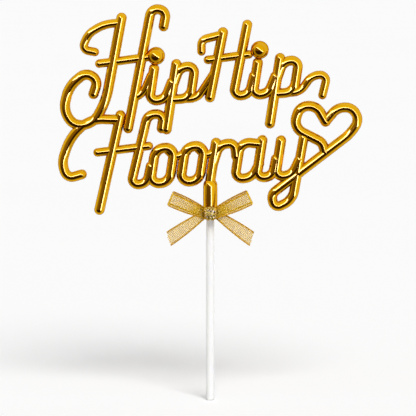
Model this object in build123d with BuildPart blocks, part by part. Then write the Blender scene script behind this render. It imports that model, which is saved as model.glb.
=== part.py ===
import os
from math import cos, radians, sin, sqrt, tan

from build123d import *

os.makedirs("parts", exist_ok=True)

# Frame: +Z up, the face of the lettering looks towards -Y.
# The origin is on the stick's axis, where the stick goes into the cake.

# Stick
STICK_DIAMETER = 4.0
STICK_IN_CAKE = 50.0
STICK_SHOWING = 42.0
STICK_TIP_ROUNDING = 0.9
SPIGOT_DIAMETER = 3.2
SPIGOT_LENGTH = 12.0
SPIGOT_TIP_CHAMFER = 0.4

# Socket boss under the lower row
BOSS_DIAMETER = 7.1
BOSS_LIP_ROUNDING = 0.4
SOCKET_CLEARANCE = 0.05
SOCKET_END_GAP = 0.5

# Strokes of the lettering
STEM_DIAMETER = 5.2
CURVE_DIAMETER = 5.0
HAIR_DIAMETER = 4.3
DOT_DIAMETER = 9.0
DOT_SINK = 0.7

# Rows of the lettering: heights are those of a small letter, between stroke centres
UPPER_LETTER_HEIGHT = 15.5
LOWER_LETTER_HEIGHT = 17.5
LOWER_BASELINE = 61.2
ROW_PITCH = 41.5
ROW_SLOPE = 3.3
LETTER_SLANT = 12.0
HOOK_TO_STEM = 2.4

# Heart: size between stroke centres, and its point from the last letter's foot
HEART_WIDTH = 27.5
HEART_HEIGHT = 22.0
HEART_REACH = 13.8
HEART_RISE = 11.0

# Bow: its height is above the socket's mouth, and its arms' rise and fall are those of their ends
BOW_HEIGHT = 3.1
BOW_GAP = 0.3
RIBBON_WIDTH = 7.2
RIBBON_THICKNESS = 0.3
RIBBON_WAIST = 1.8
RIBBON_GATHER = 9.0
LOOP_LENGTH = 22.0
LOOP_RISE = 8.95
LOOP_SETBACK = 0.8
LOOP_FOLD_DIAMETER = 1.5
TAIL_LENGTH = 26.0
TAIL_FALL = 14.9
TAIL_SETBACK = 0.8
TAIL_CUT_SLANT = 20.0
KNOT_WIDTH = 5.3
KNOT_HEIGHT = 5.9
KNOT_DEPTH = 3.6
KNOT_WALL = 0.4
KNOT_ROUNDING = 0.9
RIBBON_CLEARANCE = 0.15
WIRE_DIAMETER = 0.6
WIRE_BEND = 1.3
WIRE_CLEARANCE = 0.08
WIRE_TAIL_LENGTH = 6.0
WIRE_TAIL_TWIST = 900.0
WIRE_PAIR_SHARE = 0.9

# Each arc of a stroke takes up this share of the shorter run beside it
ARC_SHARE = 0.48

# Letters as pen strokes, a weight and its points, in shares of the small letter's height
SMALL_I_TOP_SHARES = (0.0, 1.02)
SMALL_I_SHARES = [
    ("stem", [SMALL_I_TOP_SHARES, (0.0, 0.0), (0.50, 0.0), (0.64, 0.55)]),
]
SMALL_P_FOOT_SHARES = (0.0, -0.95)
SMALL_P_SHARES = [
    ("stem", [(0.0, 1.12), SMALL_P_FOOT_SHARES]),
    ("curve", [(0.0, 0.42), (0.12, 1.02), (0.62, 1.02), (0.62, 0.0), (-0.02, 0.0)]),
]
SMALL_O_RING_SHARES = [(0.0, 0.0), (0.55, 0.0), (0.55, 1.0), (0.0, 1.0)]
SMALL_O_SHARES = [
    ("hair", [(0.28, 1.0), (0.60, 0.70), (0.92, 0.84)]),
]
SMALL_R_SHARES = [
    ("stem", [(0.0, 1.06), (0.0, 0.0)]),
    ("curve", [(0.0, 0.40), (0.10, 1.0), (0.54, 1.03), (0.64, 0.64)]),
]
SMALL_A_SHARES = [
    ("curve", [(0.62, 0.95), (0.0, 1.05), (0.0, 0.0), (0.48, 0.0), (0.64, 0.40)]),
    ("stem", [(0.62, 1.06), (0.62, 0.0), (1.08, 0.0), (1.10, 0.5)]),
]
SMALL_Y_SHARES = [
    ("stem", [(0.0, 1.02), (0.0, 0.0), (0.47, 0.0), (0.62, 0.45)]),
]
SMALL_Y_LOOP_SHARES = [(0.64, 1.06), (0.60, -0.70), (0.12, -0.92), (-0.04, -0.50)]
SMALL_Y_FOOT_SHARES = (0.62, 0.0)

# Capitals: the first of each row carries a flourish
UPPER_FIRST_CAPITAL_SHARES = [
    (
        "stem",
        [(0.10, 2.70), (0.0, 0.10), (-0.28, -0.60), (-0.90, -0.70), (-1.34, -0.15)]
        + [(-1.28, 0.60), (-0.80, 1.02), (-0.36, 0.76), (-0.44, 0.32)],
    ),
    ("curve", [(1.50, 2.35), (1.52, 2.85), (1.02, 2.95), (0.85, -0.85)]),
    ("hair", [(-0.40, 1.28), (1.15, 1.40)]),
    ("hair", [(-0.60, 1.66), (-1.02, 1.76), (-0.92, 2.24), (-0.45, 2.52), (0.08, 2.55)]),
    ("hair", [(0.86, 0.10), (1.18, 0.28), (1.33, 0.80)]),
]
UPPER_SECOND_CAPITAL_SHARES = [
    ("stem", [(0.10, 2.05), (0.0, 0.0)]),
    ("curve", [(0.85, 2.25), (0.75, 0.0), (1.26, 0.0), (1.32, 0.6)]),
    ("hair", [(-0.25, 1.20), (1.05, 1.30)]),
    ("hair", [(-0.50, 1.48), (-0.56, 1.85), (0.08, 1.98)]),
]
LOWER_CAPITAL_HOOK_SHARES = (1.44, 1.56)
LOWER_CAPITAL_SHARES = [
    ("stem", [(0.20, 2.0), (0.0, -0.66)]),
    ("curve", [(-0.66, 0.38), (-1.06, 0.28), (-1.29, 0.74), (-1.16, 1.45), (-0.66, 1.95), (0.15, 1.88)]),
    (
        "curve",
        [LOWER_CAPITAL_HOOK_SHARES, (1.44, 1.96), (0.98, 1.99), (0.80, 0.0), (1.26, 0.0), (1.29, 0.5)],
    ),
    ("hair", [(-0.30, 0.98), (1.15, 1.08)]),
]

# Joins between letters of the upper row, from the start of the p before them
UPPER_JOIN_SHARES = ("hair", [(0.30, 0.0), (0.85, -0.02), (1.25, 0.75)])
UPPER_TAIL_SHARES = ("hair", [(0.30, 0.0), (0.82, 0.0), (1.12, 0.52), (1.62, 0.50), (1.56, -0.14)])

# Steps from the start of one letter to the start of the next
CAPITAL_STEP_SHARE = 1.40
I_STEP_SHARE = 0.70
P_STEP_SHARE = 1.25
SECOND_CAPITAL_STEP_SHARE = 1.38
LOWER_CAPITAL_STEP_SHARE = 1.35
O_STEP_SHARE = 0.86
R_STEP_SHARE = 0.70
A_STEP_SHARE = 1.16

# Heart's right and left halves, in shares of its width and height from its point
HEART_RIGHT_SHARES = [(0.465, 0.45), (0.62, 0.755), (0.495, 1.04), (0.225, 1.04), (0.01, 0.72)]
HEART_LEFT_SHARES = [
    *[(0.01, 0.72), (-0.155, 1.08), (-0.46, 1.065)],
    *[(-0.575, 0.58), (-0.045, 0.245), (0.0, 0.03)],
]
LOOP_END_SHARE = 0.12

DIAMETERS = {"stem": STEM_DIAMETER, "curve": CURVE_DIAMETER, "hair": HAIR_DIAMETER}


def corner_radii(points, closed=False):
    """Radius at each corner that leaves a short straight run between neighbouring arcs."""
    corners = range(len(points)) if closed else range(1, len(points) - 1)
    radii = []
    for corner in corners:
        here = Vector(*points[corner])
        before = Vector(*points[corner - 1]) - here
        after = Vector(*points[(corner + 1) % len(points)]) - here
        half_turn = radians(90 - before.get_angle(after) / 2)
        radii.append(ARC_SHARE * min(before.length, after.length) / tan(half_turn))
    return radii


def bar(points, diameter, start_rounded=True, end_rounded=True):
    """Round bar along the smoothed points, in the plane of the lettering."""
    with BuildPart() as stroke:
        with BuildLine(Plane.XZ) as pen:
            if len(points) > 2:
                FilletPolyline(*points, radius=corner_radii(points))
            else:
                Line(*points)
        start = Plane(pen.line @ 0, z_dir=-(pen.line % 0))
        end = Plane(pen.line @ 1, z_dir=pen.line % 1)
        with BuildSketch(start):
            Circle(diameter / 2)
        sweep(path=pen.line)
        for plane, rounded in ((start, start_rounded), (end, end_rounded)):
            if rounded:
                with Locations(plane):
                    Sphere(diameter / 2, arc_size1=0, align=(Align.CENTER, Align.CENTER, Align.MIN))
    return stroke.part


def ring(points, diameter):
    """Round bar along the smoothed points, closed on itself."""
    with BuildPart() as stroke:
        with BuildLine(Plane.XZ) as pen:
            FilletPolyline(*points, radius=corner_radii(points, closed=True), close=True)
        with BuildSketch(Plane(pen.line @ 0, z_dir=pen.line % 0)):
            Circle(diameter / 2)
        sweep(path=pen.line)
    return stroke.part


def row_point(share, start, letter_height, baseline):
    """A share of a letter as x and z, slanted and set on its sloping row."""
    up = share[1] * letter_height
    along = start + share[0] * letter_height + up * tan(radians(LETTER_SLANT))
    slope = radians(ROW_SLOPE)
    return (along * cos(slope) - up * sin(slope), baseline + along * sin(slope) + up * cos(slope))


def lower(share, start):
    return row_point(share, start, LOWER_LETTER_HEIGHT, LOWER_BASELINE)


def upper(share, start):
    return row_point(share, start, UPPER_LETTER_HEIGHT, LOWER_BASELINE + ROW_PITCH)


def letter(pen_strokes, place, start):
    bars = []
    for weight, shares in pen_strokes:
        points = [place(share, start) for share in shares]
        bars.append(bar(points, DIAMETERS[weight]))
    return bars


def dot(place, start):
    """Ball dot that sits on the round top of an i, in line with its stem."""
    x, z = place(SMALL_I_TOP_SHARES, start)
    lean = radians(LETTER_SLANT - ROW_SLOPE)
    lift = (STEM_DIAMETER + DOT_DIAMETER) / 2 - DOT_SINK
    with BuildPart() as ball:
        with Locations((x + lift * sin(lean), 0, z + lift * cos(lean))):
            Sphere(DOT_DIAMETER / 2)
    return ball.part


# Lower row: the r stands over the socket
r_start = 0
second_o_start = r_start - O_STEP_SHARE * LOWER_LETTER_HEIGHT
first_o_start = second_o_start - O_STEP_SHARE * LOWER_LETTER_HEIGHT
lower_capital_start = first_o_start - LOWER_CAPITAL_STEP_SHARE * LOWER_LETTER_HEIGHT
a_start = r_start + R_STEP_SHARE * LOWER_LETTER_HEIGHT
y_start = a_start + A_STEP_SHARE * LOWER_LETTER_HEIGHT

strokes = letter(LOWER_CAPITAL_SHARES, lower, lower_capital_start)
for o_start in (first_o_start, second_o_start):
    strokes.append(ring([lower(share, o_start) for share in SMALL_O_RING_SHARES], STEM_DIAMETER))
    strokes += letter(SMALL_O_SHARES, lower, o_start)
strokes += letter(SMALL_R_SHARES, lower, r_start)
strokes += letter(SMALL_A_SHARES, lower, a_start)
strokes += letter(SMALL_Y_SHARES, lower, y_start)

# The last letter's loop runs on, in one line, into the right half of the heart
y_foot_x, y_foot_z = lower(SMALL_Y_FOOT_SHARES, y_start)
point_x = y_foot_x + HEART_REACH
point_z = y_foot_z + HEART_RISE


def heart_points(shares):
    return [(point_x + across * HEART_WIDTH, point_z + up * HEART_HEIGHT) for across, up in shares]


loop_points = [lower(share, y_start) for share in SMALL_Y_LOOP_SHARES]
right_points = heart_points(HEART_RIGHT_SHARES)
turn_point = Vector(*loop_points[-1])
run = Vector(*right_points[0]) - turn_point
loop_end = turn_point + run * LOOP_END_SHARE
join = (loop_end.X, loop_end.Y)
strokes.append(bar(loop_points + [join], CURVE_DIAMETER, end_rounded=False))
strokes.append(bar([join] + right_points, CURVE_DIAMETER, start_rounded=False))
strokes.append(bar(heart_points(HEART_LEFT_SHARES), STEM_DIAMETER))

# Upper row: the first p's stem lies against the hook of the lower capital
hook_x = lower(LOWER_CAPITAL_HOOK_SHARES, lower_capital_start)[0]
p_foot_x = upper(SMALL_P_FOOT_SHARES, 0)[0]
first_p_start = hook_x - p_foot_x + HOOK_TO_STEM
first_i_start = first_p_start - I_STEP_SHARE * UPPER_LETTER_HEIGHT
first_capital_start = first_i_start - CAPITAL_STEP_SHARE * UPPER_LETTER_HEIGHT
second_capital_start = first_p_start + P_STEP_SHARE * UPPER_LETTER_HEIGHT
second_i_start = second_capital_start + SECOND_CAPITAL_STEP_SHARE * UPPER_LETTER_HEIGHT
second_p_start = second_i_start + I_STEP_SHARE * UPPER_LETTER_HEIGHT

strokes += letter(UPPER_FIRST_CAPITAL_SHARES, upper, first_capital_start)
strokes += letter(UPPER_SECOND_CAPITAL_SHARES, upper, second_capital_start)
for i_start in (first_i_start, second_i_start):
    strokes += letter(SMALL_I_SHARES, upper, i_start)
    strokes.append(dot(upper, i_start))
strokes += letter([*SMALL_P_SHARES, UPPER_JOIN_SHARES], upper, first_p_start)
strokes += letter([*SMALL_P_SHARES, UPPER_TAIL_SHARES], upper, second_p_start)

# Lettering with its socket boss
socket_depth = SPIGOT_LENGTH + SOCKET_END_GAP
boss_dome_height = LOWER_BASELINE - STEM_DIAMETER / 2
with BuildPart() as lettering:
    for stroke in strokes:
        add(stroke)
    with BuildSketch(Plane.XZ) as boss_half:
        with BuildLine():
            dome = CenterArc((0, boss_dome_height), BOSS_DIAMETER / 2, 0, 90)
            Polyline(dome @ 0, (BOSS_DIAMETER / 2, STICK_SHOWING), (0, STICK_SHOWING), dome @ 1)
        make_face()
        lip = boss_half.vertices().group_by(Axis.Y)[0].sort_by(Axis.X)[-1]
        fillet(lip, radius=BOSS_LIP_ROUNDING)
    revolve(axis=Axis.Z)
    with BuildSketch(Plane.XY.offset(STICK_SHOWING)):
        Circle(SPIGOT_DIAMETER / 2 + SOCKET_CLEARANCE)
    extrude(amount=socket_depth, mode=Mode.SUBTRACT)
lettering.part.label = "lettering"
export_step(lettering.part, "parts/lettering.step")

# Stick with its spigot
with BuildPart() as stick:
    with BuildSketch(Plane.XY.offset(-STICK_IN_CAKE)):
        Circle(STICK_DIAMETER / 2)
    extrude(amount=STICK_IN_CAKE + STICK_SHOWING)
    fillet(stick.edges().sort_by(Axis.Z)[0], radius=STICK_TIP_ROUNDING)
    with BuildSketch(Plane.XY.offset(STICK_SHOWING)):
        Circle(SPIGOT_DIAMETER / 2)
    extrude(amount=SPIGOT_LENGTH)
    chamfer(stick.edges().sort_by(Axis.Z)[-1], length=SPIGOT_TIP_CHAMFER)
stick.part.label = "stick"
export_step(stick.part, "parts/stick.step")

# Knot band: a flat tube along X, just in front of the boss
bow_height = STICK_SHOWING + BOW_HEIGHT
knot_back = BOSS_DIAMETER / 2 + BOW_GAP
knot_middle = knot_back + KNOT_DEPTH / 2
knot_plane = Plane((-KNOT_WIDTH / 2, -knot_middle, bow_height), x_dir=(0, 1, 0), z_dir=(1, 0, 0))
with BuildPart() as knot_band:
    with BuildSketch(knot_plane):
        RectangleRounded(KNOT_DEPTH, KNOT_HEIGHT, KNOT_ROUNDING)
        offset(amount=-KNOT_WALL, mode=Mode.SUBTRACT)
    extrude(amount=KNOT_WIDTH)
knot_band.part.label = "knot_band"
export_step(knot_band.part, "parts/knot_band.step")

# Tie wire: through the back of the knot band, round the boss, twisted shut behind it
wire_run = knot_back + KNOT_WALL + WIRE_CLEARANCE + WIRE_DIAMETER / 2
wire_reach = BOSS_DIAMETER / 2 + WIRE_CLEARANCE + WIRE_DIAMETER / 2
with BuildPart() as tie_wire:
    with BuildLine(Plane.XY.offset(bow_height)) as wire_path:
        around = CenterArc((0, 0), wire_reach, 0, 180)
        left_bend = CenterArc((-wire_reach + WIRE_BEND, -wire_run + WIRE_BEND), WIRE_BEND, 180, 90)
        right_bend = CenterArc((wire_reach - WIRE_BEND, -wire_run + WIRE_BEND), WIRE_BEND, 270, 90)
        Line(around @ 1, left_bend @ 0)
        Line(left_bend @ 1, right_bend @ 0)
        Line(right_bend @ 1, around @ 0)
    with BuildSketch(Plane(wire_path.wire() @ 0, z_dir=wire_path.wire() % 0)):
        Circle(WIRE_DIAMETER / 2)
    sweep(path=wire_path.wire())
    with BuildSketch(Plane.XY.offset(bow_height), mode=Mode.PRIVATE) as pair:
        with Locations((0, wire_reach + WIRE_DIAMETER / 2)):
            with GridLocations(WIRE_DIAMETER * WIRE_PAIR_SHARE, 0, 2, 1):
                Circle(WIRE_DIAMETER / 2)
    add(
        Solid.extrude_linear_with_rotation(
            pair.sketch.face(),
            (0, wire_reach + WIRE_DIAMETER / 2, bow_height),
            (0, 0, -WIRE_TAIL_LENGTH),
            WIRE_TAIL_TWIST,
        )
    )
tie_wire.part.label = "tie_wire"
export_step(tie_wire.part, "parts/tie_wire.step")

# Ribbon layers from back to front inside the knot band: one tail, the two loops, the other tail
layers_back = wire_run + WIRE_DIAMETER / 2 + RIBBON_CLEARANCE
layers_front = knot_back + KNOT_DEPTH - KNOT_WALL - RIBBON_CLEARANCE
layers_middle = (layers_back + layers_front) / 2
gather_depth = layers_front - layers_back
gather_height = KNOT_HEIGHT - 2 * KNOT_WALL - 2 * RIBBON_CLEARANCE
gather_rounding = KNOT_ROUNDING - KNOT_WALL - RIBBON_CLEARANCE


def arm_direction(side, length, rise):
    """Unit vector along an arm of the bow: side is 1 to the right and -1 to the left."""
    return Vector(side * sqrt(length**2 - rise**2), 0, rise).normalized()


def arm_outline(length, cut_slant):
    """Front outline of an arm along X: gathered at the knot, full width further out."""
    neck = KNOT_WIDTH / 2 + RIBBON_WAIST
    cut = RIBBON_WIDTH / 2 * tan(radians(cut_slant))
    return [
        (0, RIBBON_WAIST / 2),
        (0, -RIBBON_WAIST / 2),
        (neck, -RIBBON_WAIST / 2),
        (RIBBON_GATHER, -RIBBON_WIDTH / 2),
        (length + cut, -RIBBON_WIDTH / 2),
        (length - cut, RIBBON_WIDTH / 2),
        (RIBBON_GATHER, RIBBON_WIDTH / 2),
        (neck, RIBBON_WAIST / 2),
    ]


def loop_arm(side):
    """Flat loop: the ribbon runs out in front, folds over and comes back behind."""
    along = arm_direction(side, LOOP_LENGTH, LOOP_RISE)
    root = Vector(0, -layers_middle, bow_height - LOOP_SETBACK)
    across = Plane(root, x_dir=along, z_dir=Vector(0, 1, 0).cross(along))
    face = Plane(root, x_dir=along, z_dir=Vector(0, -1, 0))
    with BuildPart() as arm:
        with BuildSketch(across):
            with Locations((LOOP_LENGTH / 2, 0)):
                SlotOverall(LOOP_LENGTH, LOOP_FOLD_DIAMETER)
            offset(amount=-RIBBON_THICKNESS, mode=Mode.SUBTRACT)
        extrude(amount=RIBBON_WIDTH, both=True)
        with BuildSketch(face):
            Polygon(*arm_outline(LOOP_LENGTH, 0), align=None)
        extrude(amount=LOOP_FOLD_DIAMETER, both=True, mode=Mode.INTERSECT)
    return arm.part


def tail_arm(side, depth):
    """Flat tail with a slanting cut at its end."""
    along = arm_direction(side, TAIL_LENGTH, -TAIL_FALL)
    root = Vector(0, -depth, bow_height + TAIL_SETBACK)
    face = Plane(root, x_dir=along, z_dir=Vector(0, -1, 0))
    with BuildPart() as arm:
        with BuildSketch(face):
            Polygon(*arm_outline(TAIL_LENGTH, side * TAIL_CUT_SLANT), align=None)
        extrude(amount=RIBBON_THICKNESS / 2, both=True)
    return arm.part


arms = [loop_arm(1), loop_arm(-1)]
arms.append(tail_arm(1, layers_back + RIBBON_THICKNESS / 2))
arms.append(tail_arm(-1, layers_front - RIBBON_THICKNESS / 2))
with BuildPart() as bow_ribbon:
    with BuildSketch(knot_plane):
        with Locations((knot_middle - layers_middle, 0)):
            RectangleRounded(gather_depth, gather_height, gather_rounding)
    extrude(amount=KNOT_WIDTH)
    add(arms)
bow_ribbon.part.label = "bow_ribbon"
export_step(bow_ribbon.part, "parts/bow_ribbon.step")
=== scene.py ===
# %% [markdown]
# # A gold cake topper with a ribbon bow
#
# The topper is a gold plated greeting on a white stick, with a small bow of gold mesh ribbon tied
# under the letters. The construction comes from CAD as a fixed frame. This lesson dresses it: it
# gives each carried-over part its finish, weaves the ribbon thread by thread, and sets up a plain
# studio. Every piece is modelled in place, in metres, in the frame of the CAD parts.

# %% Load the frame
import math
import random

import bmesh
import bpy
from mathutils import Matrix, Vector


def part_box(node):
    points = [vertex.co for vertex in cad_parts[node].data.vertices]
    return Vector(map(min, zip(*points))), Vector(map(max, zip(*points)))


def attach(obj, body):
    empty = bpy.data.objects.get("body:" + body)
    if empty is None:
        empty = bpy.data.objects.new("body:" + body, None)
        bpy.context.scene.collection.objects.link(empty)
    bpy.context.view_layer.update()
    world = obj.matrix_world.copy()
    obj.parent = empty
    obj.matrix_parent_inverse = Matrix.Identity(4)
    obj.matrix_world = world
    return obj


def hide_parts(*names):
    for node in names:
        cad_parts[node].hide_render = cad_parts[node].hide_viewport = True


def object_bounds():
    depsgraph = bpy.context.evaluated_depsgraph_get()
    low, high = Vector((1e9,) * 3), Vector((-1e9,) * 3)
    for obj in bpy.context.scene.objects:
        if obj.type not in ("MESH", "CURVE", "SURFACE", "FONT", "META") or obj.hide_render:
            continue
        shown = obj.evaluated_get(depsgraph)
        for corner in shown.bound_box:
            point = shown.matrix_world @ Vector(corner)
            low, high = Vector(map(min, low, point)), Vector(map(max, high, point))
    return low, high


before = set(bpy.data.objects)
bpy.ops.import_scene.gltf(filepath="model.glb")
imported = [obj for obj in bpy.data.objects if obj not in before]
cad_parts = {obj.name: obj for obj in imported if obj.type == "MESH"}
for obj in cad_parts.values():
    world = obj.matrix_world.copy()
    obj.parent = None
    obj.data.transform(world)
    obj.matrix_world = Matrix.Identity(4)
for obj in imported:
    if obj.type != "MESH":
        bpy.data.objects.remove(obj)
cad_low, cad_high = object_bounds()
MM = 0.001
print("CAD nodes:", sorted(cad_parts))

# %% [markdown]
# ## Helpers for finishes
#
# Each finish is a node material around one Principled shader, so a helper starts it, and another
# puts it on an object. The rest add what most finishes share: noise, a colour ramp over it, a range
# of values from it, and bump.


# %% Start a finish and put it on
def start_material(name):
    """A new material, its node tree and its Principled shader."""
    material = bpy.data.materials.new(name)
    material.use_nodes = True
    tree = material.node_tree
    shader = tree.nodes["Principled BSDF"]
    return material, tree, shader


def dress(thing, material):
    """Gives an object its finish."""
    thing.data.materials.clear()
    thing.data.materials.append(material)
    print(thing.name, "wears", material.name, "on", len(thing.data.polygons), "faces")


# %% Nodes that finishes share
def add_noise(tree, scale, detail=2.0, stretch=(1, 1, 1)):
    """A noise texture on Object coordinates: scale is in lumps per metre."""
    place = tree.nodes.new("ShaderNodeTexCoord")
    mapping = tree.nodes.new("ShaderNodeMapping")
    mapping.inputs["Scale"].default_value = stretch
    noise = tree.nodes.new("ShaderNodeTexNoise")
    noise.inputs["Scale"].default_value = scale
    noise.inputs["Detail"].default_value = detail
    tree.links.new(place.outputs["Object"], mapping.inputs["Vector"])
    tree.links.new(mapping.outputs["Vector"], noise.inputs["Vector"])
    return noise.outputs["Fac"]


def add_ramp(tree, value, stops):
    """A colour ramp over a value: stops are (position, colour) pairs."""
    ramp = tree.nodes.new("ShaderNodeValToRGB")
    elements = ramp.color_ramp.elements
    for element, (position, colour) in zip(elements, (stops[0], stops[-1])):
        element.position = position
        element.color = (*colour, 1)
    for position, colour in stops[1:-1]:
        elements.new(position).color = (*colour, 1)
    tree.links.new(value, ramp.inputs["Fac"])
    return ramp.outputs["Color"]


def add_range(tree, value, low, high):
    """Maps a value that runs from 0 to 1 onto a range."""
    spread = tree.nodes.new("ShaderNodeMapRange")
    spread.inputs["To Min"].default_value = low
    spread.inputs["To Max"].default_value = high
    tree.links.new(value, spread.inputs["Value"])
    return spread.outputs["Result"]


def add_bump(tree, shader, height, strength, distance):
    """Bump of the shader's surface: distance is the height of the relief in metres."""
    bump = tree.nodes.new("ShaderNodeBump")
    bump.inputs["Strength"].default_value = strength
    bump.inputs["Distance"].default_value = distance
    tree.links.new(height, bump.inputs["Height"])
    tree.links.new(bump.outputs["Normal"], shader.inputs["Normal"])


# %% [markdown]
# ## Gold plate
#
# The greeting is moulded plastic with a thin layer of gold-coloured metal. The CAD node has the
# true round strokes, so it stays and only gets a finish. Metal has no colour of its own apart from
# what it reflects: a metallic shader with a warm base turns the white studio into orange gold. The
# base lets a trace of blue through, so that a very bright light comes back as cream. Specular Tint
# weakens what is reflected at a slant, which keeps the outlines of the strokes deep. Plating is
# never quite even, so slow noise shifts the tint, and fine noise gives a faint orange peel.


# %% Gold plate on the lettering
def gold_plate():
    material, tree, shader = start_material("gold_plate")
    tint = add_noise(tree, scale=60.0)
    stops = [(0.3, (0.70, 0.365, 0.017)), (0.7, (0.80, 0.435, 0.025))]
    tree.links.new(add_ramp(tree, tint, stops), shader.inputs["Base Color"])
    shader.inputs["Metallic"].default_value = 1.0
    shader.inputs["Specular Tint"].default_value = (0.42, 0.24, 0.03, 1)
    polish = add_noise(tree, scale=220.0, detail=4.0)
    tree.links.new(add_range(tree, polish, low=0.03, high=0.10), shader.inputs["Roughness"])
    peel = add_noise(tree, scale=900.0)
    add_bump(tree, shader, peel, strength=0.05, distance=0.05 * MM)
    return material


dress(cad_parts["lettering"], gold_plate())

# %% [markdown]
# ## White stick
#
# The stick is an extruded plastic rod: bright white, glossy, with faint lines along its length
# from the die. Noise that is stretched along Z makes such lines, as a bump and as a slight change
# of gloss. The bright strip in this studio is cool, so the gloss has a warm tint. Without it a blue
# line would run down the stick.


# %% White plastic on the stick
def white_plastic():
    material, tree, shader = start_material("white_plastic")
    cloud = add_noise(tree, scale=40.0)
    stops = [(0.3, (0.77, 0.77, 0.77)), (0.7, (0.81, 0.81, 0.805))]
    tree.links.new(add_ramp(tree, cloud, stops), shader.inputs["Base Color"])
    lines = add_noise(tree, scale=1500.0, stretch=(1, 1, 0.02))
    tree.links.new(add_range(tree, lines, low=0.25, high=0.40), shader.inputs["Roughness"])
    shader.inputs["IOR"].default_value = 1.33
    shader.inputs["Specular Tint"].default_value = (1.0, 0.9, 0.2, 1)
    shader.inputs["Subsurface Weight"].default_value = 0.1
    shader.inputs["Subsurface Radius"].default_value = (MM, MM, MM)
    add_bump(tree, shader, lines, strength=0.1, distance=0.02 * MM)
    return material


dress(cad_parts["stick"], white_plastic())

# %% [markdown]
# ## Tie wire
#
# A thin gold-coloured wire goes through the knot and round the socket, and is twisted shut at the
# back. Its CAD node is a real twisted pair, so it stays and gets a drawn metal finish.


# %% Drawn gold wire
def gold_wire():
    material, tree, shader = start_material("gold_wire")
    tint = add_noise(tree, scale=900.0)
    stops = [(0.3, (0.62, 0.38, 0.06)), (0.7, (0.80, 0.54, 0.14))]
    tree.links.new(add_ramp(tree, tint, stops), shader.inputs["Base Color"])
    shader.inputs["Metallic"].default_value = 1.0
    scuff = add_noise(tree, scale=4000.0)
    tree.links.new(add_range(tree, scuff, low=0.18, high=0.38), shader.inputs["Roughness"])
    return material


dress(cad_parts["tie_wire"], gold_wire())

# %% [markdown]
# ## The ribbon's surface
#
# The bow is one ribbon of open mesh. Two flat loops stand up at the sides and two cut tails hang
# below, and all four are gathered under the knot. A cloth simulation would erase such a narrow,
# stiff strap, so each arm is a surface with two directions: `along` the ribbon from the knot, and
# `across` it from -1 to 1. Near the knot the surface narrows and folds into pleats. `side` is 1 for
# an arm on the right and -1 for one on the left.

# %% Sizes of the bow
knot_low, knot_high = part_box("knot_band")
ribbon_low, ribbon_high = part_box("bow_ribbon")
knot_middle = (knot_low + knot_high) / 2
ribbon_depth = (ribbon_low.y + ribbon_high.y) / 2
RIBBON_WIDTH = 7.2 * MM
KNOT_EDGE = 2.4 * MM
PLEAT_DEPTH = 0.6 * MM
PLEAT_LENGTH = 7.0 * MM
PLEATS = 3.5
LOOP_LENGTH = 21.7 * MM
LOOP_ANGLES = {1: math.radians(25.0), -1: math.radians(23.5)}
LOOP_ROOT = -1.5 * MM
LOOP_GATHERED = 4.2 * MM
LOOP_SPREAD = 15.0 * MM
LOOP_BULGE = 0.25 * MM
FOLD_RADIUS = 0.45 * MM
FOLD_SHIFT = 0.9 * MM
TAIL_LENGTH = 25.3 * MM
TAIL_ANGLE = math.radians(-35.0)
TAIL_ROOT = 1.8 * MM
TAIL_GATHERED = 3.5 * MM
TAIL_SPREAD = 22.0 * MM
TAIL_CUT = 1.2 * MM
TAIL_LAYER = 0.65 * MM
TAIL_CURL = 0.7 * MM
print("knot at", [round(x / MM, 2) for x in knot_middle], "mm")


# %% A point of an arm
def smooth_step(value):
    """0 below 0, 1 above 1, and a smooth rise between."""
    clipped = min(max(value, 0.0), 1.0)
    return clipped * clipped * (3 - 2 * clipped)


def arm_place(side, angle, gather, distance, across, lift, depth):
    """A point of an arm: its distance from the bow's middle, its place across, its lift and depth."""
    gathered, spread = gather
    opened = math.sin(math.pi / 2 * min(max((distance - KNOT_EDGE) / spread, 0.0), 1.0))
    half_width = (gathered + (RIBBON_WIDTH - gathered) * opened) / 2
    pinch = 1 - smooth_step((distance - KNOT_EDGE) / PLEAT_LENGTH)
    pleat = PLEAT_DEPTH * pinch * math.cos(PLEATS * math.pi * across)
    out = Vector((side * math.cos(angle), 0, math.sin(angle)))
    up = Vector((-side * math.sin(angle), 0, math.cos(angle)))
    middle = Vector((0, ribbon_depth + depth + pleat, knot_middle.z + lift))
    return middle + out * distance + up * (half_width * across)


# %% [markdown]
# A loop runs out in front, turns over a tight fold and comes back behind. The fold isn't quite
# square, so the back layer comes out a little higher and shows above the front one as a second
# gold line. The left tail lies in front of the loops and the right one behind them, and both curl
# towards the plane of the loops at their ends.

# %% Surfaces of the loops and tails
LOOP_RUN = LOOP_LENGTH - FOLD_RADIUS
LOOP_STRIP = 2 * LOOP_RUN + math.pi * FOLD_RADIUS


def loop_surface(side):
    """The surface of a loop, as a function of the length along the strip and the place across it."""
    gather = (LOOP_GATHERED, LOOP_SPREAD)

    def surface(along, across):
        if along <= LOOP_RUN:
            distance = along
            depth = -FOLD_RADIUS - LOOP_BULGE * math.sin(math.pi * along / LOOP_RUN)
            lift = 0.0
        elif along <= LOOP_STRIP - LOOP_RUN:
            turn = (along - LOOP_RUN) / FOLD_RADIUS
            distance = LOOP_RUN + FOLD_RADIUS * math.sin(turn)
            depth = -FOLD_RADIUS * math.cos(turn)
            lift = FOLD_SHIFT * turn / math.pi
        else:
            distance = LOOP_STRIP - along
            depth = FOLD_RADIUS + LOOP_BULGE * math.sin(math.pi * distance / LOOP_RUN)
            lift = FOLD_SHIFT
        return arm_place(side, LOOP_ANGLES[side], gather, distance, across, LOOP_ROOT + lift, depth)

    return surface


def tail_surface(side):
    """The surface of a tail, as a function of the same two."""
    gather = (TAIL_GATHERED, TAIL_SPREAD)
    layer = side * TAIL_LAYER

    def surface(along, across):
        curl = side * TAIL_CURL * (along / TAIL_LENGTH) ** 2
        return arm_place(side, TAIL_ANGLE, gather, along, across, TAIL_ROOT, layer - curl)

    return surface


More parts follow.
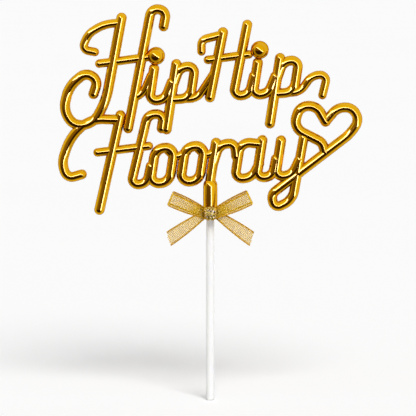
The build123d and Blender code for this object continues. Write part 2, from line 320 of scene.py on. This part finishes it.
print("a loop takes", round(LOOP_STRIP / MM, 1), "mm of ribbon, a tail", round(TAIL_LENGTH / MM, 1), "mm")

# %% [markdown]
# ## Weaving the ribbon
#
# From a step away the ribbon reads as pale gold gauze, and from close by as threads. So it is real
# threads: warps along the ribbon and wefts across it, which pass over and under each other at
# every crossing. Each thread is one spline of a curve with a thin bevel, and the curve becomes a
# mesh. The edges are bundles of thinner cords, set close together.


# %% Threads as curves
def place_object(name, data):
    """A new object at the origin."""
    thing = bpy.data.objects.new(name, data)
    bpy.context.scene.collection.objects.link(thing)
    return thing


def start_threads(name, radius):
    """A curve that bevels its splines as threads."""
    curve = bpy.data.curves.new(name, "CURVE")
    curve.dimensions = "3D"
    curve.bevel_depth = radius
    curve.bevel_resolution = 0
    curve.use_fill_caps = True
    return curve


def add_thread(curve, points):
    """One thread: a straight-run spline through its crossings."""
    spline = curve.splines.new("POLY")
    spline.points.add(len(points) - 1)
    for point, place in zip(spline.points, points):
        point.co = (*place, 1)


def shade_smooth(mesh):
    for polygon in mesh.polygons:
        polygon.use_smooth = True


def threads_mesh(curve):
    """The bevelled threads of a curve as a smooth mesh."""
    holder = place_object(curve.name, curve)
    bpy.context.view_layer.update()
    evaluated = holder.evaluated_get(bpy.context.evaluated_depsgraph_get())
    mesh = bpy.data.meshes.new_from_object(evaluated)
    bpy.data.objects.remove(holder)
    shade_smooth(mesh)
    return mesh


# %% Where the threads run
THREAD_PITCH = 0.82 * MM
THREAD_RADIUS = 0.19 * MM
THREAD_WAVE = 0.10 * MM
EDGE_CORDS = 3
EDGE_PITCH = 0.24 * MM
EDGE_RADIUS = 0.16 * MM
EDGE_BAND = (EDGE_CORDS - 1) * EDGE_PITCH
WARP_SPAN = RIBBON_WIDTH - 2 * EDGE_BAND - 2 * EDGE_PITCH
WARPS = round(WARP_SPAN / THREAD_PITCH)
DIFFERENCE_STEP = 0.05 * MM
warp_places = [(-0.5 + (i + 0.5) / WARPS) * WARP_SPAN for i in range(WARPS)]
edge_places = [RIBBON_WIDTH / 2 - EDGE_RADIUS - i * EDGE_PITCH for i in range(EDGE_CORDS)]


def as_across(place):
    """A place across the flat ribbon, in metres, as a share of its half width."""
    return place / (RIBBON_WIDTH / 2)


def surface_normal(surface, along, across):
    """The surface's normal, from three points close together."""
    here = surface(along, across)
    run = surface(along + DIFFERENCE_STEP, across) - here
    side = surface(along, across + as_across(DIFFERENCE_STEP)) - here
    return run.cross(side).normalized()


def woven_point(surface, along, across, height):
    """A point at a height above the surface."""
    return surface(along, across) + surface_normal(surface, along, across) * height


def crossing(surface, along, across, row, column):
    """Where a thread passes over or under another: every second crossing is above the surface."""
    return woven_point(surface, along, across, THREAD_WAVE * (-1) ** (row + column))


print("warps:", WARPS, "and edge cords:", 2 * EDGE_CORDS)

# %% [markdown]
# At a cut end the wefts stop at the cut, and the warps stand out a little, each by its own length
# and lift from a seeded random draw. At the fold of a loop extra wefts make a dense crease.

# %% Threads of an arm
FRAY = 0.55 * MM
FRAY_WAVES = 2
fray_lengths = random.Random(7)


def weave_warps(curve, surface, rows, arm_end, frayed):
    """Threads along an arm."""
    for column, place in enumerate(warp_places):
        across = as_across(place)
        points = []
        for row in range(rows):
            along = row * THREAD_PITCH
            if along <= arm_end(across):
                points.append(crossing(surface, along, across, row, column))
        if frayed:
            tip = arm_end(across) + FRAY * fray_lengths.random() ** 2
            lift = THREAD_WAVE * fray_lengths.uniform(-FRAY_WAVES, FRAY_WAVES)
            points.append(woven_point(surface, tip, across, lift))
        add_thread(curve, points)


def weave_wefts(curve, surface, weft_lengths, arm_end):
    """Threads across an arm, from edge to edge."""
    places = [-edge_places[0], *warp_places, edge_places[0]]
    for row, along in enumerate(weft_lengths):
        points = []
        for column, place in enumerate(places):
            across = as_across(place)
            if along <= arm_end(across):
                points.append(crossing(surface, along, across, row, column))
        if len(points) > 1:
            add_thread(curve, points)


def lay_edge_cords(curve, surface, arm_end):
    """Cords along both edges of an arm."""
    for place in [*edge_places, *[-place for place in edge_places]]:
        across = as_across(place)
        steps = round(arm_end(across) / THREAD_PITCH)
        lengths = [arm_end(across) * step / steps for step in range(steps + 1)]
        add_thread(curve, [surface(along, across) for along in lengths])


# %% Weave the arms
SPARE_ROWS = 4
CREASE_PITCH = 0.24 * MM
CREASES = round(math.pi * FOLD_RADIUS / CREASE_PITCH) + 1
fold_creases = [LOOP_RUN + i * CREASE_PITCH for i in range(CREASES)]
mesh_curve = start_threads("bow_mesh", THREAD_RADIUS)
edge_curve = start_threads("bow_edges", EDGE_RADIUS)


def weave_arm(surface, length, cut, creases):
    """Weaves one arm: cut is how far its lower edge runs past its middle, creases are extra wefts."""

    def arm_end(across):
        return length - cut * across

    rows = round(length / THREAD_PITCH) + SPARE_ROWS
    weft_lengths = [row * THREAD_PITCH for row in range(rows)] + creases
    weave_warps(mesh_curve, surface, rows, arm_end, frayed=cut > 0)
    weave_wefts(mesh_curve, surface, weft_lengths, arm_end)
    lay_edge_cords(edge_curve, surface, arm_end)


for side in (1, -1):
    weave_arm(loop_surface(side), LOOP_STRIP, cut=0.0, creases=fold_creases)
    weave_arm(tail_surface(side), TAIL_LENGTH, cut=TAIL_CUT, creases=[])
print("threads:", len(mesh_curve.splines), "edge cords:", len(edge_curve.splines))

# %% [markdown]
# The threads are a metallic yarn in a pale and a deep gold. The two tones differ at random and
# stand as painted light and shade: pale for threads that catch the light, deep gold for crossings.
# Fine noise on Object coordinates changes colour and gloss from crossing to crossing. The edge
# cords are the same yarn, packed tighter, and their darker colour is painted shade of the close
# cords. Beside the knot the ribbon is squeezed together and lies in its own shade. A darker colour
# is painted there as shade, reaching further on the side away from the lamp, on top of what light
# alone gives.


# %% Nodes for a change by place
def add_step(tree, value, low, high):
    """A smooth step between two levels of a value."""
    step = tree.nodes.new("ShaderNodeMapRange")
    step.interpolation_type = "SMOOTHSTEP"
    step.inputs["From Min"].default_value = low
    step.inputs["From Max"].default_value = high
    tree.links.new(value, step.inputs["Value"])
    return step.outputs["Result"]


def add_mix(tree, share, low, high):
    """A colour between two: each is a colour or the output of another node."""
    mix = tree.nodes.new("ShaderNodeMix")
    mix.data_type = "RGBA"
    tree.links.new(share, mix.inputs["Factor"])
    for name, colour in (("A", low), ("B", high)):
        if isinstance(colour, tuple):
            mix.inputs[name].default_value = (*colour, 1)
        else:
            tree.links.new(colour, mix.inputs[name])
    return mix.outputs["Result"]


# %% Yarn of the ribbon
# Painted shade beside the knot: its middle, moved away from the lamp, and where it fades out.
PINCH_SHADE_MIDDLE = -0.6 * MM
PINCH_SHADE_REACH = (2.0 * MM, 5.9 * MM)


def add_sideways(tree):
    """How far a point lies to the side of the middle of the painted shade beside the knot."""
    place = tree.nodes.new("ShaderNodeSeparateXYZ")
    tree.links.new(tree.nodes.new("ShaderNodeTexCoord").outputs["Object"], place.inputs["Vector"])
    offset = tree.nodes.new("ShaderNodeMath")
    offset.operation = "SUBTRACT"
    offset.inputs[1].default_value = PINCH_SHADE_MIDDLE
    tree.links.new(place.outputs["X"], offset.inputs[0])
    sideways = tree.nodes.new("ShaderNodeMath")
    sideways.operation = "ABSOLUTE"
    tree.links.new(offset.outputs["Value"], sideways.inputs[0])
    return sideways.outputs["Value"]


def metallic_yarn(name, dark, pale, pinch_shade, metallic):
    """Yarn in two tones of painted light and shade, with more painted shade where the knot squeezes it.
    """
    material, tree, shader = start_material(name)
    speckle = add_noise(tree, scale=1800.0, detail=3.0)
    # Painted light and shade: pale for threads in the light, dark for crossings, placed at random.
    shades = add_ramp(tree, speckle, [(0.35, dark), (0.65, pale)])
    # Painted shade beside the knot, mixed over the yarn's tones.
    pinch = add_step(tree, add_sideways(tree), *PINCH_SHADE_REACH)
    tree.links.new(add_mix(tree, pinch, pinch_shade, shades), shader.inputs["Base Color"])
    shader.inputs["Metallic"].default_value = metallic
    shader.inputs["Specular IOR Level"].default_value = 0.1
    gloss = add_noise(tree, scale=3000.0)
    tree.links.new(add_range(tree, gloss, low=0.24, high=0.44), shader.inputs["Roughness"])
    twist = add_noise(tree, scale=6000.0)
    add_bump(tree, shader, twist, strength=0.4, distance=0.04 * MM)
    return material


mesh_yarn = metallic_yarn(
    "mesh_yarn",
    dark=(0.57, 0.335, 0.012),
    pale=(1.0, 0.68, 0.05),
    pinch_shade=(0.21, 0.09, 0.004),
    metallic=0.4,
)
# The edge cords' darker tones are painted shade between the close cords.
edge_yarn = metallic_yarn(
    "edge_yarn",
    dark=(0.38, 0.18, 0.002),
    pale=(0.70, 0.37, 0.008),
    pinch_shade=(0.46, 0.24, 0.004),
    metallic=0.35,
)
print("yarns:", mesh_yarn.name, edge_yarn.name)

# %% [markdown]
# A finished mesh becomes a piece: an object at the origin, with its place in its mesh, that moves
# with a body of the frame and wears its finish in a material slot. The two woven pieces stand in
# for the CAD ribbon, which is a closed sheet.


# %% Pieces of the ribbon
def make_piece(name, mesh, material, body):
    """A finished mesh as a piece of the object."""
    piece = place_object(name, mesh)
    dress(piece, material)
    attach(piece, body)
    return piece


bow_mesh = make_piece("bow_mesh", threads_mesh(mesh_curve), mesh_yarn, "bow")
bow_edges = make_piece("bow_edges", threads_mesh(edge_curve), edge_yarn, "bow")
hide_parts("bow_ribbon")
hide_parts("bow_ribbon")

# %% [markdown]
# ## Knot band
#
# A short strip of glittery ribbon wraps the middle of the bow from front to back. Its section is
# drawn in millimetres and spun round the X axis as a ring, which is then pushed out to the rounded
# box that the CAD band fills. The wall is thickest in the middle, so that the band looks stuffed.

# %% Rings round the knot
BAND_STEPS = 72
BAND_RIM = 0.35 * MM
BAND_WALL = 0.45 * MM
BOX_POWER = 5.0
CROWN_POWER = 3
RING_RADIUS = 10.0
MERGE_DISTANCE = 0.001 * MM
band_half = (knot_high - knot_low) / 2


def rounded_box_reach(direction):
    """How far the band's outside is from its axis in a direction of the YZ plane."""
    flat = abs(direction.y / band_half.y) ** BOX_POWER + abs(direction.z / band_half.z) ** BOX_POWER
    return flat ** (-1 / BOX_POWER)


def crown(across):
    """Depth of the band's outside below its highest line, at a place across the band from -1 to 1."""
    return BAND_RIM * abs(across) ** CROWN_POWER


def spin_section(bm, section):
    """Spins a closed section, given by its vertices, round the X axis."""
    edges = dict.fromkeys(edge for vert in section for edge in vert.link_edges)
    bmesh.ops.spin(
        bm,
        geom=[*section, *edges],
        cent=(0, 0, 0),
        axis=(1, 0, 0),
        angle=2 * math.pi,
        steps=BAND_STEPS,
        use_merge=True,
    )


def fit_to_knot(bm, sunk):
    """Pushes rings of RING_RADIUS millimetres out to the knot's rounded box, and closes them."""
    for vert in bm.verts:
        direction = Vector((0, vert.co.y, vert.co.z))
        raised = (direction.length - RING_RADIUS) * MM
        direction.normalize()
        reach = rounded_box_reach(direction) - sunk + raised
        vert.co = knot_middle + Vector((vert.co.x * MM, 0, 0)) + direction * reach
    bmesh.ops.remove_doubles(bm, verts=bm.verts, dist=MERGE_DISTANCE)
    bmesh.ops.recalc_face_normals(bm, faces=bm.faces)


def finished_mesh(bm, name):
    """The mesh of a bmesh that is done."""
    mesh = bpy.data.meshes.new(name)
    bm.to_mesh(mesh)
    bm.free()
    return mesh


print("knot is", [round(2 * x / MM, 2) for x in band_half], "mm")

# %% Cloth of the band
BAND_POINTS = 9


def band_mesh():
    band = bmesh.new()
    half_width = band_half.x / MM
    inside = RING_RADIUS - (BAND_RIM + BAND_WALL / 2) / MM
    places = [-1 + 2 * i / (BAND_POINTS - 1) for i in range(BAND_POINTS)]
    section = []
    for across in places:
        section.append(band.verts.new((across * half_width, 0, RING_RADIUS - crown(across) / MM)))
    for across in reversed(places):
        section.append(band.verts.new((across * half_width, 0, inside)))
    for i, vert in enumerate(section):
        band.edges.new((section[i - 1], vert))
    spin_section(band, section)
    fit_to_knot(band, sunk=0.0)
    mesh = finished_mesh(band, "knot_cloth")
    shade_smooth(mesh)
    return mesh


def knot_backing():
    """The band's own film: dull gold between the flakes."""
    material, tree, shader = start_material("knot_backing")
    speckle = add_noise(tree, scale=2500.0, detail=3.0)
    stops = [(0.35, (0.20, 0.12, 0.01)), (0.65, (0.60, 0.40, 0.07))]
    tree.links.new(add_ramp(tree, speckle, stops), shader.inputs["Base Color"])
    shader.inputs["Metallic"].default_value = 0.6
    shader.inputs["Roughness"].default_value = 0.4
    add_bump(tree, shader, speckle, strength=0.5, distance=0.05 * MM)
    return material


knot_cloth = make_piece("knot_cloth", band_mesh(), knot_backing(), "bow")
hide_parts("knot_band")

# %% [markdown]
# The band's cut edges are rolled in, so a smooth gold rim shows at each side of it. A rim is a
# small circle, spun round the same axis and pushed out to the same rounded box.

# %% Rims of the band
RIM_RADIUS = 0.34 * MM
RIM_SIDES = 10


def rims_mesh():
    rims = bmesh.new()
    upright = Matrix.Rotation(math.pi / 2, 4, "X")
    for side in (-1, 1):
        place = Matrix.Translation((side * band_half.x / MM, 0, RING_RADIUS))
        section = bmesh.ops.create_circle(
            rims,
            cap_ends=False,
            segments=RIM_SIDES,
            radius=RIM_RADIUS / MM,
            matrix=place @ upright,
        )["verts"]
        spin_section(rims, section)
    fit_to_knot(rims, sunk=BAND_RIM)
    mesh = finished_mesh(rims, "knot_rims")
    shade_smooth(mesh)
    return mesh


def rim_film():
    """Smooth gold film of the rolled edge."""
    material, tree, shader = start_material("rim_film")
    tint = add_noise(tree, scale=1200.0)
    stops = [(0.35, (0.62, 0.33, 0.02)), (0.65, (0.88, 0.56, 0.09))]
    tree.links.new(add_ramp(tree, tint, stops), shader.inputs["Base Color"])
    shader.inputs["Metallic"].default_value = 0.9
    tree.links.new(add_range(tree, tint, low=0.18, high=0.34), shader.inputs["Roughness"])
    return material


make_piece("knot_rims", rims_mesh(), rim_film(), "bow")

# %% [markdown]
# Glitter is small flakes of metal film, stuck on at every angle. Each flake is a thin six-sided
# plate, placed on the band with its own tilt and size from a seeded random draw, and coloured by
# the shader from the island that it is.

# %% Glitter flakes
FLAKES = 330
FLAKE_SIDES = 6
FLAKE_RADII = (0.26 * MM, 0.42 * MM)
FLAKE_DEPTH = 0.06 * MM
FLAKE_TILT = 0.75
FLAKE_SPREAD_SHARE = 0.86


def glitter_mesh():
    draw = random.Random(11)
    flakes = bmesh.new()
    for _ in range(FLAKES):
        across = draw.uniform(-FLAKE_SPREAD_SHARE, FLAKE_SPREAD_SHARE)
        angle = draw.uniform(0, 2 * math.pi)
        direction = Vector((0, math.sin(angle), math.cos(angle)))
        reach = rounded_box_reach(direction) - crown(across)
        place = knot_middle + Vector((across * band_half.x, 0, 0)) + direction * reach
        tilt = Vector([draw.uniform(-FLAKE_TILT, FLAKE_TILT) for _ in range(3)])
        turn = (direction + tilt).to_track_quat("Z", "Y").to_matrix().to_4x4()
        radius = draw.uniform(*FLAKE_RADII)
        bmesh.ops.create_cone(
            flakes,
            cap_ends=True,
            segments=FLAKE_SIDES,
            radius1=radius,
            radius2=radius,
            depth=FLAKE_DEPTH,
            matrix=Matrix.Translation(place) @ turn,
        )
    return finished_mesh(flakes, "knot_glitter")


def glitter_film():
    """Film in many shades: the dark flakes are plain metal, the pale ones scatter more light."""
    material, tree, shader = start_material("glitter_film")
    island = tree.nodes.new("ShaderNodeNewGeometry").outputs["Random Per Island"]
    stops = [(0.25, (0.06, 0.035, 0.003)), (0.35, (0.80, 0.52, 0.06)), (1.0, (1.0, 0.90, 0.36))]
    tree.links.new(add_ramp(tree, island, stops), shader.inputs["Base Color"])
    tree.links.new(add_range(tree, island, low=0.20, high=0.40), shader.inputs["Roughness"])
    tree.links.new(add_range(tree, island, low=0.9, high=0.25), shader.inputs["Metallic"])
    shader.inputs["Specular Tint"].default_value = (1.0, 0.90, 0.30, 1)
    return material


make_piece("knot_glitter", glitter_mesh(), glitter_film(), "bow")

# %% [markdown]
# ## Studio
#
# The topper stands on a pale floor with plain white all round it. A white world does that: rays
# from the camera and rays that reflect see it at full white, and matt surfaces get a weaker, even
# light from it. The floor takes the shadow. In reflections the white world stands in for it.

# %% Floor
FLOOR_SIZE = 60.0


def pale_floor():
    material, tree, shader = start_material("pale_floor")
    cloud = add_noise(tree, scale=3.0)
    stops = [(0.0, (0.95, 0.95, 0.95)), (1.0, (0.97, 0.97, 0.97))]
    tree.links.new(add_ramp(tree, cloud, stops), shader.inputs["Base Color"])
    shader.inputs["Roughness"].default_value = 0.9
    shader.inputs["Specular IOR Level"].default_value = 0.0
    return material


floor_bm = bmesh.new()
bmesh.ops.create_grid(floor_bm, x_segments=1, y_segments=1, size=FLOOR_SIZE / 2)
bmesh.ops.translate(floor_bm, verts=floor_bm.verts, vec=(0, 0, cad_low.z))
floor = place_object("floor", finished_mesh(floor_bm, "floor"))
floor.visible_glossy = False
dress(floor, pale_floor())

# %% World
PLAIN_LIGHT = 0.45
world = bpy.data.worlds.new("white_tent")
bpy.context.scene.world = world
world.use_nodes = True
sky = world.node_tree
background = sky.nodes["Background"]
background.inputs["Color"].default_value = (1, 1, 1, 1)
rays = sky.nodes.new("ShaderNodeLightPath").outputs
shown = rays["Is Camera Ray"]
for kind in ("Is Glossy Ray", "Is Transmission Ray"):
    both = sky.nodes.new("ShaderNodeMath")
    both.operation = "MAXIMUM"
    sky.links.new(shown, both.inputs[0])
    sky.links.new(rays[kind], both.inputs[1])
    shown = both.outputs["Value"]
strength = add_range(sky, shown, low=PLAIN_LIGHT, high=1.0)
sky.links.new(strength, background.inputs["Strength"])
print("world lights matt surfaces at", PLAIN_LIGHT)

# %% [markdown]
# Polished gold looks flat where all is white, so a photographer hangs dark cloth and one thin soft
# box behind the camera. Here they are a wall, part of a large sphere round the topper. Its light
# depends on the direction from the topper: black below and brown above, a cool bright strip that
# gives the cream lines, and sides like a gold reflector that fade out into the white. Only rays
# that reflect meet the walls, so they neither shade the floor nor block the lamp. A smaller wall
# behind the topper does the same for whoever looks at its back. Its strip is dimmer, because from
# the front it would flare along the edges of the strokes.


# %% Light by direction
def add_dot(tree, direction):
    """How far a point of the wall lies along a direction, from the topper."""
    place = tree.nodes.new("ShaderNodeVectorMath")
    place.operation = "NORMALIZE"
    tree.links.new(tree.nodes.new("ShaderNodeTexCoord").outputs["Object"], place.inputs[0])
    dot = tree.nodes.new("ShaderNodeVectorMath")
    dot.operation = "DOT_PRODUCT"
    dot.inputs[1].default_value = direction
    tree.links.new(place.outputs["Vector"], dot.inputs[0])
    return dot.outputs["Value"]


def cosines(outer, inner):
    """What the dot product is at two angles from a direction, in degrees."""
    return math.cos(math.radians(outer)), math.cos(math.radians(inner))


# %% Light on a wall
WALL_BLACK = (0.03, 0.015, 0.01)
WALL_BROWN = (0.28, 0.19, 0.06)
BROWN_RISE = (-0.28, 0.12)
BOX_SLANT = math.radians(55)
BOX_DIRECTION = (math.cos(BOX_SLANT), 0.0, math.sin(BOX_SLANT))
BOX_NEAR = (0.06, 0.08)
BOX_FAR = (0.12, 0.155)
BEYOND_BOX = (1.1, 1.08, 0.14)
CLOTH_EDGE = cosines(60, 47)
SIDE_DIRECTION = (0.5, 0.0, 0.85)
SIDE_RISE = (-0.7, 0.4)
SIDE_DIM = (0.50, 0.46, 0.06)
SIDE_BRIGHT = (1.0, 0.97, 0.12)


def wall_light(name, axis, edge, box_light):
    """Cloth and soft box round an axis, gold sides round them, and nothing beyond the edge."""
    material, tree, shader = start_material(name)
    tree.nodes.remove(shader)
    height = add_dot(tree, (0, 0, 1))
    cloth = add_mix(tree, add_step(tree, height, *BROWN_RISE), WALL_BLACK, WALL_BROWN)
    box_place = add_dot(tree, BOX_DIRECTION)
    box = add_mix(tree, add_step(tree, box_place, *BOX_FAR), box_light, BEYOND_BOX)
    middle = add_mix(tree, add_step(tree, box_place, *BOX_NEAR), cloth, box)
    side_place = add_dot(tree, SIDE_DIRECTION)
    sides = add_mix(tree, add_step(tree, side_place, *SIDE_RISE), SIDE_DIM, SIDE_BRIGHT)
    from_axis = add_dot(tree, axis)
    light = add_mix(tree, add_step(tree, from_axis, *CLOTH_EDGE), sides, middle)
    glow = tree.nodes.new("ShaderNodeEmission")
    tree.links.new(light, glow.inputs["Color"])
    clear = tree.nodes.new("ShaderNodeBsdfTransparent")
    fade = tree.nodes.new("ShaderNodeMixShader")
    tree.links.new(add_step(tree, from_axis, *edge), fade.inputs["Fac"])
    tree.links.new(clear.outputs["BSDF"], fade.inputs[1])
    tree.links.new(glow.outputs["Emission"], fade.inputs[2])
    tree.links.new(fade.outputs["Shader"], tree.nodes["Material Output"].inputs["Surface"])
    return material


# %% Walls
WALL_RADIUS = 4.0
WALL_SEGMENTS = 64
WALL_RINGS = 32
FRONT_AXIS = Vector((-0.17, -1.0, -0.12)).normalized()
FRONT_EDGE = cosines(88, 72)
FRONT_BOX = (6.5, 8.0, 48.0)
BACK_AXIS = Vector((0.0, 1.0, 0.0))
BACK_EDGE = cosines(38, 30)
BACK_BOX = (3.0, 3.2, 5.0)


def studio_wall(name, axis, edge, box_light):
    """The half of a large sphere that lies along an axis, seen only in reflections."""
    bm = bmesh.new()
    bmesh.ops.create_uvsphere(bm, u_segments=WALL_SEGMENTS, v_segments=WALL_RINGS, radius=WALL_RADIUS)
    geometry = [*bm.verts, *bm.edges, *bm.faces]
    bmesh.ops.bisect_plane(bm, geom=geometry, plane_co=(0, 0, 0), plane_no=axis, clear_inner=True)
    wall = place_object(name, finished_mesh(bm, name))
    wall.visible_camera = False
    wall.visible_diffuse = False
    wall.visible_shadow = False
    dress(wall, wall_light(name, axis, edge, box_light))


studio_wall("front_wall", FRONT_AXIS, FRONT_EDGE, FRONT_BOX)
studio_wall("back_wall", BACK_AXIS, BACK_EDGE, BACK_BOX)

# %% [markdown]
# One soft lamp from the upper right front gives the white stick its round shading and lays a
# faint shadow on the floor. It doesn't show in the reflections, where the wall already has the
# soft box.

# %% Lamp
KEY_RISE = math.radians(45.0)
KEY_TURN = math.radians(15.0)
KEY_SOFTNESS = math.radians(30.0)
KEY_STRENGTH = 2.45
key_data = bpy.data.lights.new("key", "SUN")
key_data.energy = KEY_STRENGTH
key_data.angle = KEY_SOFTNESS
key = place_object("key", key_data)
key_from = Vector((
    math.cos(KEY_RISE) * math.sin(KEY_TURN),
    -math.cos(KEY_RISE) * math.cos(KEY_TURN),
    math.sin(KEY_RISE),
))
key.location = key_from
key.rotation_euler = key_from.to_track_quat("Z", "Y").to_euler()
key.visible_glossy = False
print("lamp shines from", [round(x, 2) for x in key_from])

# %% [markdown]
# ## Camera
#
# The picture is square and shows about 0.2 m of height, from nearly level, with a long lens. The
# frame's origin, on the stick's axis, sits a little right of the middle and well below it.

# %% Camera
PICTURE_SIDE = 416
PIXEL = 0.5 * MM
ORIGIN_PIXEL = (210.3, 302.0)
CAMERA_RISE = math.radians(6.0)
CAMERA_DISTANCE = 1.2
SENSOR = 36.0
aim = Vector((
    (PICTURE_SIDE / 2 - ORIGIN_PIXEL[0]) * PIXEL,
    0,
    (ORIGIN_PIXEL[1] - PICTURE_SIDE / 2) * PIXEL / math.cos(CAMERA_RISE),
))
back = Vector((0, -math.cos(CAMERA_RISE), math.sin(CAMERA_RISE)))
camera_data = bpy.data.cameras.new("camera")
camera_data.sensor_width = SENSOR
camera_data.lens = SENSOR * CAMERA_DISTANCE / (PICTURE_SIDE * PIXEL)
camera = place_object("camera", camera_data)
camera.location = aim + back * CAMERA_DISTANCE
camera.rotation_euler = (-back).to_track_quat("-Z", "Y").to_euler()
bpy.context.scene.camera = camera
bpy.context.scene.view_settings.view_transform = "Standard"
print("lens of", round(camera_data.lens), "mm, aimed at", [round(x / MM, 1) for x in aim], "mm")
